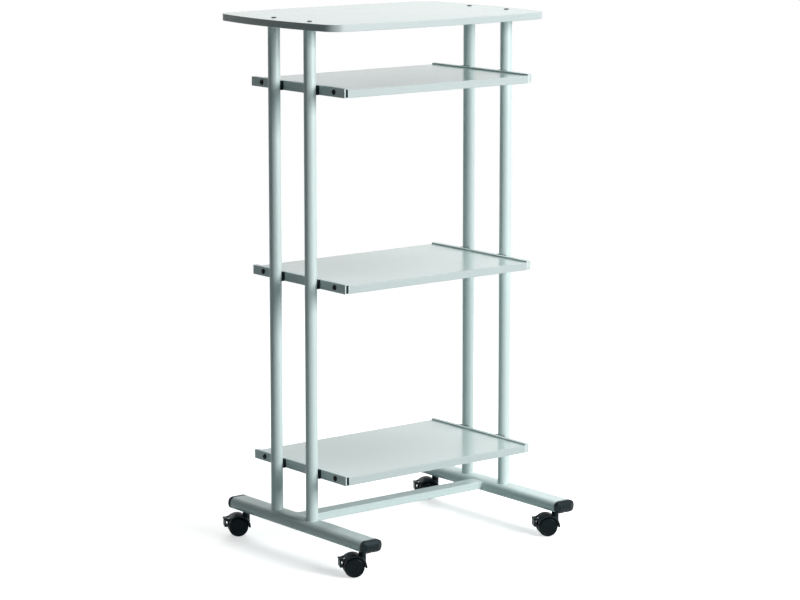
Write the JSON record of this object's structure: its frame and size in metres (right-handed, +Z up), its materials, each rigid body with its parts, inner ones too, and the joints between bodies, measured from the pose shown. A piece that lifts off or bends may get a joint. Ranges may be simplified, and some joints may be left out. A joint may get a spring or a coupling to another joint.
{
  "type": "mobile printer stand",
  "caption": "Mobile printer stand: open shelves between round silver posts, a larger bowed top board, flat-oval feet with a crossbar, and swivelling twin-wheel casters with brakes.",
  "frame": {"origin": "on the floor, under the middle of the stand's overall width and depth", "axes": "+Z up, +Y to the back, +X to the right, seen from the front"},
  "size_m": [0.7229, 0.61, 1.323],
  "materials": {
    "grey_laminate": "light grey satin laminate on particle board",
    "edge_band": "light grey edge banding",
    "silver_steel": "silver powder coat, fine texture",
    "grey_plastic": "matt moulded plastic",
    "black_plastic": "moulded black plastic, light grain",
    "wheel_plastic": "moulded black nylon",
    "black_steel": "black coated steel",
    "zinc_steel": "zinc plated"
  },
  "bodies": {
    "stand": {"caster_sockets": "black_plastic", "caster_stems": "zinc_steel", "crossbar": "silver_steel", "foot_access_plugs": "black_plastic", "foot_bolts": "zinc_steel", "foot_cap_back_left": "black_plastic", "foot_cap_back_right": "black_plastic", "foot_cap_front_left": "black_plastic", "foot_cap_front_right": "black_plastic", "foot_left": "silver_steel", "foot_right": "silver_steel", "post_back_left": "silver_steel", "post_back_right": "silver_steel", "post_bolts": "zinc_steel", "post_foot_plugs": "zinc_steel", "post_front_left": "silver_steel", "post_front_right": "silver_steel", "post_rivet_nuts": "zinc_steel", "post_saddles": "black_plastic", "post_top_plugs": "zinc_steel", "rail_end_plugs_left": "black_plastic", "rail_end_plugs_right": "grey_plastic", "rail_lower_left": "silver_steel", "rail_lower_right": "silver_steel", "rail_middle_left": "silver_steel", "rail_middle_right": "silver_steel", "rail_screws": "black_steel", "rail_upper_left": "silver_steel", "rail_upper_right": "silver_steel", "shelf_edge_bands_lower": "edge_band", "shelf_edge_bands_middle": "edge_band", "shelf_edge_bands_upper": "edge_band", "shelf_lower": "grey_laminate", "shelf_middle": "grey_laminate", "shelf_upper": "grey_laminate", "top_board": "grey_laminate", "top_board_edge_band": "edge_band", "top_screw_caps": "black_plastic", "top_screws": "zinc_steel"},
    "caster_front_left": {"caster_front_left_hood": "black_plastic", "caster_front_left_axle": "zinc_steel"},
    "caster_front_left_near_wheel": {"caster_front_left_near_wheel": "wheel_plastic"},
    "caster_front_left_far_wheel": {"caster_front_left_far_wheel": "wheel_plastic"},
    "caster_front_left_brake": {"caster_front_left_brake_lever": "black_plastic"},
    "caster_back_left": {"caster_back_left_hood": "black_plastic", "caster_back_left_axle": "zinc_steel"},
    "caster_back_left_near_wheel": {"caster_back_left_near_wheel": "wheel_plastic"},
    "caster_back_left_far_wheel": {"caster_back_left_far_wheel": "wheel_plastic"},
    "caster_back_left_brake": {"caster_back_left_brake_lever": "black_plastic"},
    "caster_front_right": {"caster_front_right_hood": "black_plastic", "caster_front_right_axle": "zinc_steel"},
    "caster_front_right_near_wheel": {"caster_front_right_near_wheel": "wheel_plastic"},
    "caster_front_right_far_wheel": {"caster_front_right_far_wheel": "wheel_plastic"},
    "caster_front_right_brake": {"caster_front_right_brake_lever": "black_plastic"},
    "caster_back_right": {"caster_back_right_hood": "black_plastic", "caster_back_right_axle": "zinc_steel"},
    "caster_back_right_near_wheel": {"caster_back_right_near_wheel": "wheel_plastic"},
    "caster_back_right_far_wheel": {"caster_back_right_far_wheel": "wheel_plastic"},
    "caster_back_right_brake": {"caster_back_right_brake_lever": "black_plastic"}
  },
  "joints": [
    {"name": "caster_front_left_swivel", "type": "hinge", "parent": "stand", "child": "caster_front_left", "pos_m": [-0.3082, -0.263, 0.0612], "axis": [0, 0, 1], "continuous": true},
    {"name": "caster_front_left_near_wheel_spin", "type": "hinge", "parent": "caster_front_left", "child": "caster_front_left_near_wheel", "pos_m": [-0.3278, -0.25301, 0.025], "axis": [-0.454, -0.891, 0], "continuous": true},
    {"name": "caster_front_left_far_wheel_spin", "type": "hinge", "parent": "caster_front_left", "child": "caster_front_left_far_wheel", "pos_m": [-0.3278, -0.25301, 0.025], "axis": [-0.454, -0.891, 0], "continuous": true},
    {"name": "caster_front_left_brake_press", "type": "hinge", "parent": "caster_front_left", "child": "caster_front_left_brake", "pos_m": [-0.35189, -0.24074, 0.04393], "axis": [-0.454, -0.891, 0], "range_deg": [-14, 0]},
    {"name": "caster_back_left_swivel", "type": "hinge", "parent": "stand", "child": "caster_back_left", "pos_m": [-0.3082, 0.221, 0.0612], "axis": [0, 0, 1], "continuous": true},
    {"name": "caster_back_left_near_wheel_spin", "type": "hinge", "parent": "caster_back_left", "child": "caster_back_left_near_wheel", "pos_m": [-0.3278, 0.23099, 0.025], "axis": [-0.454, -0.891, 0], "continuous": true},
    {"name": "caster_back_left_far_wheel_spin", "type": "hinge", "parent": "caster_back_left", "child": "caster_back_left_far_wheel", "pos_m": [-0.3278, 0.23099, 0.025], "axis": [-0.454, -0.891, 0], "continuous": true},
    {"name": "caster_back_left_brake_press", "type": "hinge", "parent": "caster_back_left", "child": "caster_back_left_brake", "pos_m": [-0.35189, 0.24326, 0.04393], "axis": [-0.454, -0.891, 0], "range_deg": [-14, 0]},
    {"name": "caster_front_right_swivel", "type": "hinge", "parent": "stand", "child": "caster_front_right", "pos_m": [0.3082, -0.263, 0.0612], "axis": [0, 0, 1], "continuous": true},
    {"name": "caster_front_right_near_wheel_spin", "type": "hinge", "parent": "caster_front_right", "child": "caster_front_right_near_wheel", "pos_m": [0.2886, -0.25301, 0.025], "axis": [-0.454, -0.891, 0], "continuous": true},
    {"name": "caster_front_right_far_wheel_spin", "type": "hinge", "parent": "caster_front_right", "child": "caster_front_right_far_wheel", "pos_m": [0.2886, -0.25301, 0.025], "axis": [-0.454, -0.891, 0], "continuous": true},
    {"name": "caster_front_right_brake_press", "type": "hinge", "parent": "caster_front_right", "child": "caster_front_right_brake", "pos_m": [0.26451, -0.24074, 0.04393], "axis": [-0.454, -0.891, 0], "range_deg": [-14, 0]},
    {"name": "caster_back_right_swivel", "type": "hinge", "parent": "stand", "child": "caster_back_right", "pos_m": [0.3082, 0.221, 0.0612], "axis": [0, 0, 1], "continuous": true},
    {"name": "caster_back_right_near_wheel_spin", "type": "hinge", "parent": "caster_back_right", "child": "caster_back_right_near_wheel", "pos_m": [0.2886, 0.23099, 0.025], "axis": [-0.454, -0.891, 0], "continuous": true},
    {"name": "caster_back_right_far_wheel_spin", "type": "hinge", "parent": "caster_back_right", "child": "caster_back_right_far_wheel", "pos_m": [0.2886, 0.23099, 0.025], "axis": [-0.454, -0.891, 0], "continuous": true},
    {"name": "caster_back_right_brake_press", "type": "hinge", "parent": "caster_back_right", "child": "caster_back_right_brake", "pos_m": [0.26451, 0.24326, 0.04393], "axis": [-0.454, -0.891, 0], "range_deg": [-14, 0]}
  ]
}
